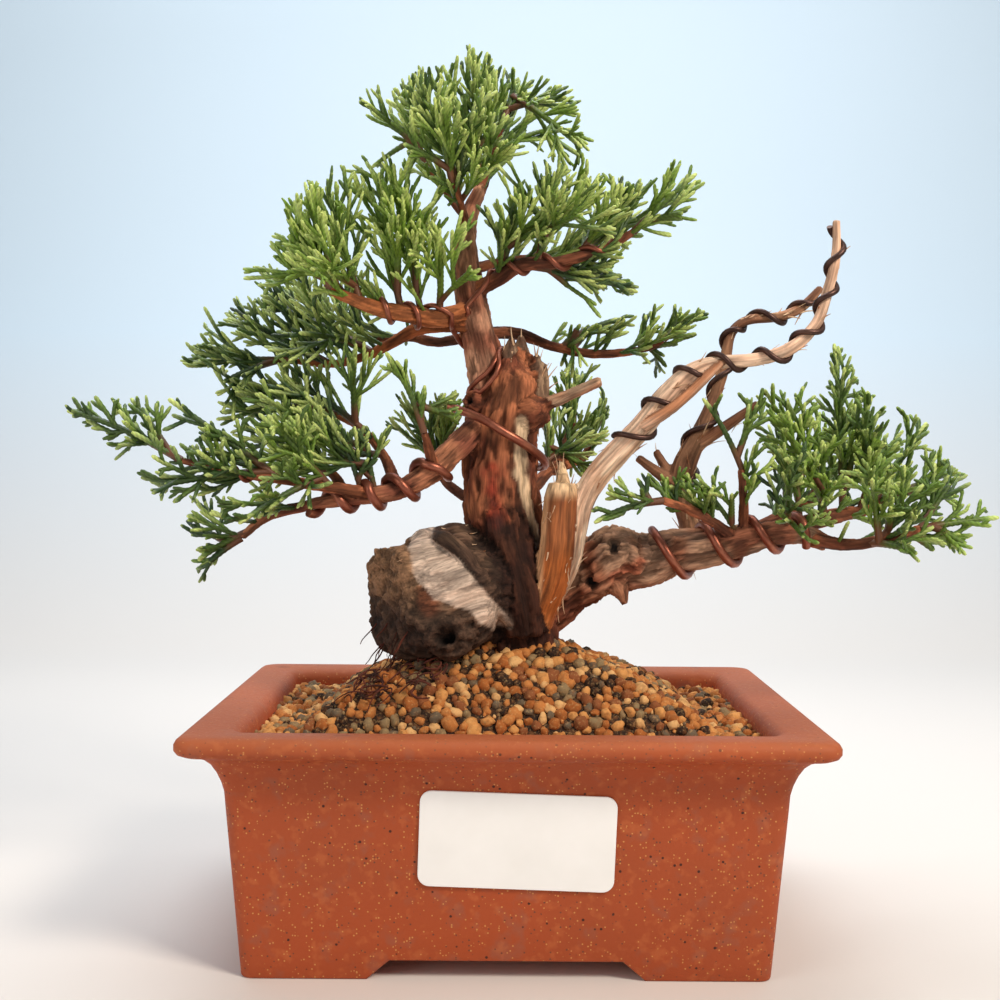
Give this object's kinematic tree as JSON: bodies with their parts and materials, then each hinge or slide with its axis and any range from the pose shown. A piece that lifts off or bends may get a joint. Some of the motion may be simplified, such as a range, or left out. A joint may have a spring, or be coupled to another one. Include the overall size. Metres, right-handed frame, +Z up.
{
  "type": "potted bonsai tree",
  "caption": "Small wired juniper bonsai with a gnarled trunk, bare deadwood branches and cord-like foliage, in a rectangular unglazed clay pot.",
  "frame": {"origin": "on the table, under the middle of the whole outline of pot and tree", "axes": "+Z up, the pot's long side along X with its labelled front towards -Y, the thick low branch towards +X"},
  "size_m": [0.2649, 0.127, 0.2585],
  "materials": {
    "pot": "unglazed fired clay, orange brown with fine dark and pale specks, satin",
    "label": "bare white paper sticker, smooth",
    "drain_mesh": "dark moulded plastic mesh",
    "soil": "loose baked clay granules, tan, orange and grey, matte",
    "wood": "flaky red brown bark with pale bare deadwood",
    "wire": "copper brown anodised wire, satin",
    "foliage": "scale-covered green juniper cords, slightly waxy"
  },
  "bodies": {
    "root": {"pot": "pot", "label": "label", "drain_mesh_left": "drain_mesh", "drain_mesh_right": "drain_mesh", "soil": "soil", "tree_wood": "wood", "wire_trunk_to_low_left": "wire", "wire_leader_to_left": "wire", "wire_leader_to_right": "wire", "wire_low_right": "wire", "wire_jin": "wire", "wire_jin_second": "wire", "wire_left_arm": "wire", "spray_leader_1": "foliage", "spray_crown_right_twig_1": "foliage", "spray_crown_left_twig_1": "foliage", "spray_crown_front_twig_1": "foliage", "spray_crown_front_twig_2": "foliage", "spray_crown_back_twig_1": "foliage", "spray_crown_back_twig_2": "foliage", "spray_right_crown_1": "foliage", "spray_right_crown_2": "foliage", "spray_right_crown_3": "foliage", "spray_right_crown_back_1": "foliage", "spray_right_crown_back_2": "foliage", "spray_upper_left_1": "foliage", "spray_upper_left_2": "foliage", "spray_upper_left_3": "foliage", "spray_upper_left_4": "foliage", "spray_left_mid_1": "foliage", "spray_left_mid_2": "foliage", "spray_left_mid_3": "foliage", "spray_left_back_1": "foliage", "spray_low_left_rise_1": "foliage", "spray_low_left_rise_2": "foliage", "spray_low_left_twig_1": "foliage", "spray_low_left_1": "foliage", "spray_low_left_arm_1": "foliage", "spray_low_left_arm_2": "foliage", "spray_low_left_arm_3": "foliage", "spray_bright_twig_1": "foliage", "spray_trunk_back_twig_1": "foliage", "spray_mid_right_1": "foliage", "spray_mid_right_2": "foliage", "spray_mid_right_3": "foliage", "spray_back_rise_1": "foliage", "spray_back_fork_1": "foliage", "spray_low_right_rise_1": "foliage", "spray_low_right_return_1": "foliage", "spray_low_right_upper_1": "foliage", "spray_low_right_upper_2": "foliage", "spray_low_right_upper_3": "foliage", "spray_low_right_upper_4": "foliage", "spray_low_right_lower_1": "foliage", "spray_low_right_lower_2": "foliage", "spray_low_right_back_1": "foliage", "spray_low_right_back_2": "foliage", "spray_low_right_1": "foliage"}
  },
  "joints": []
}
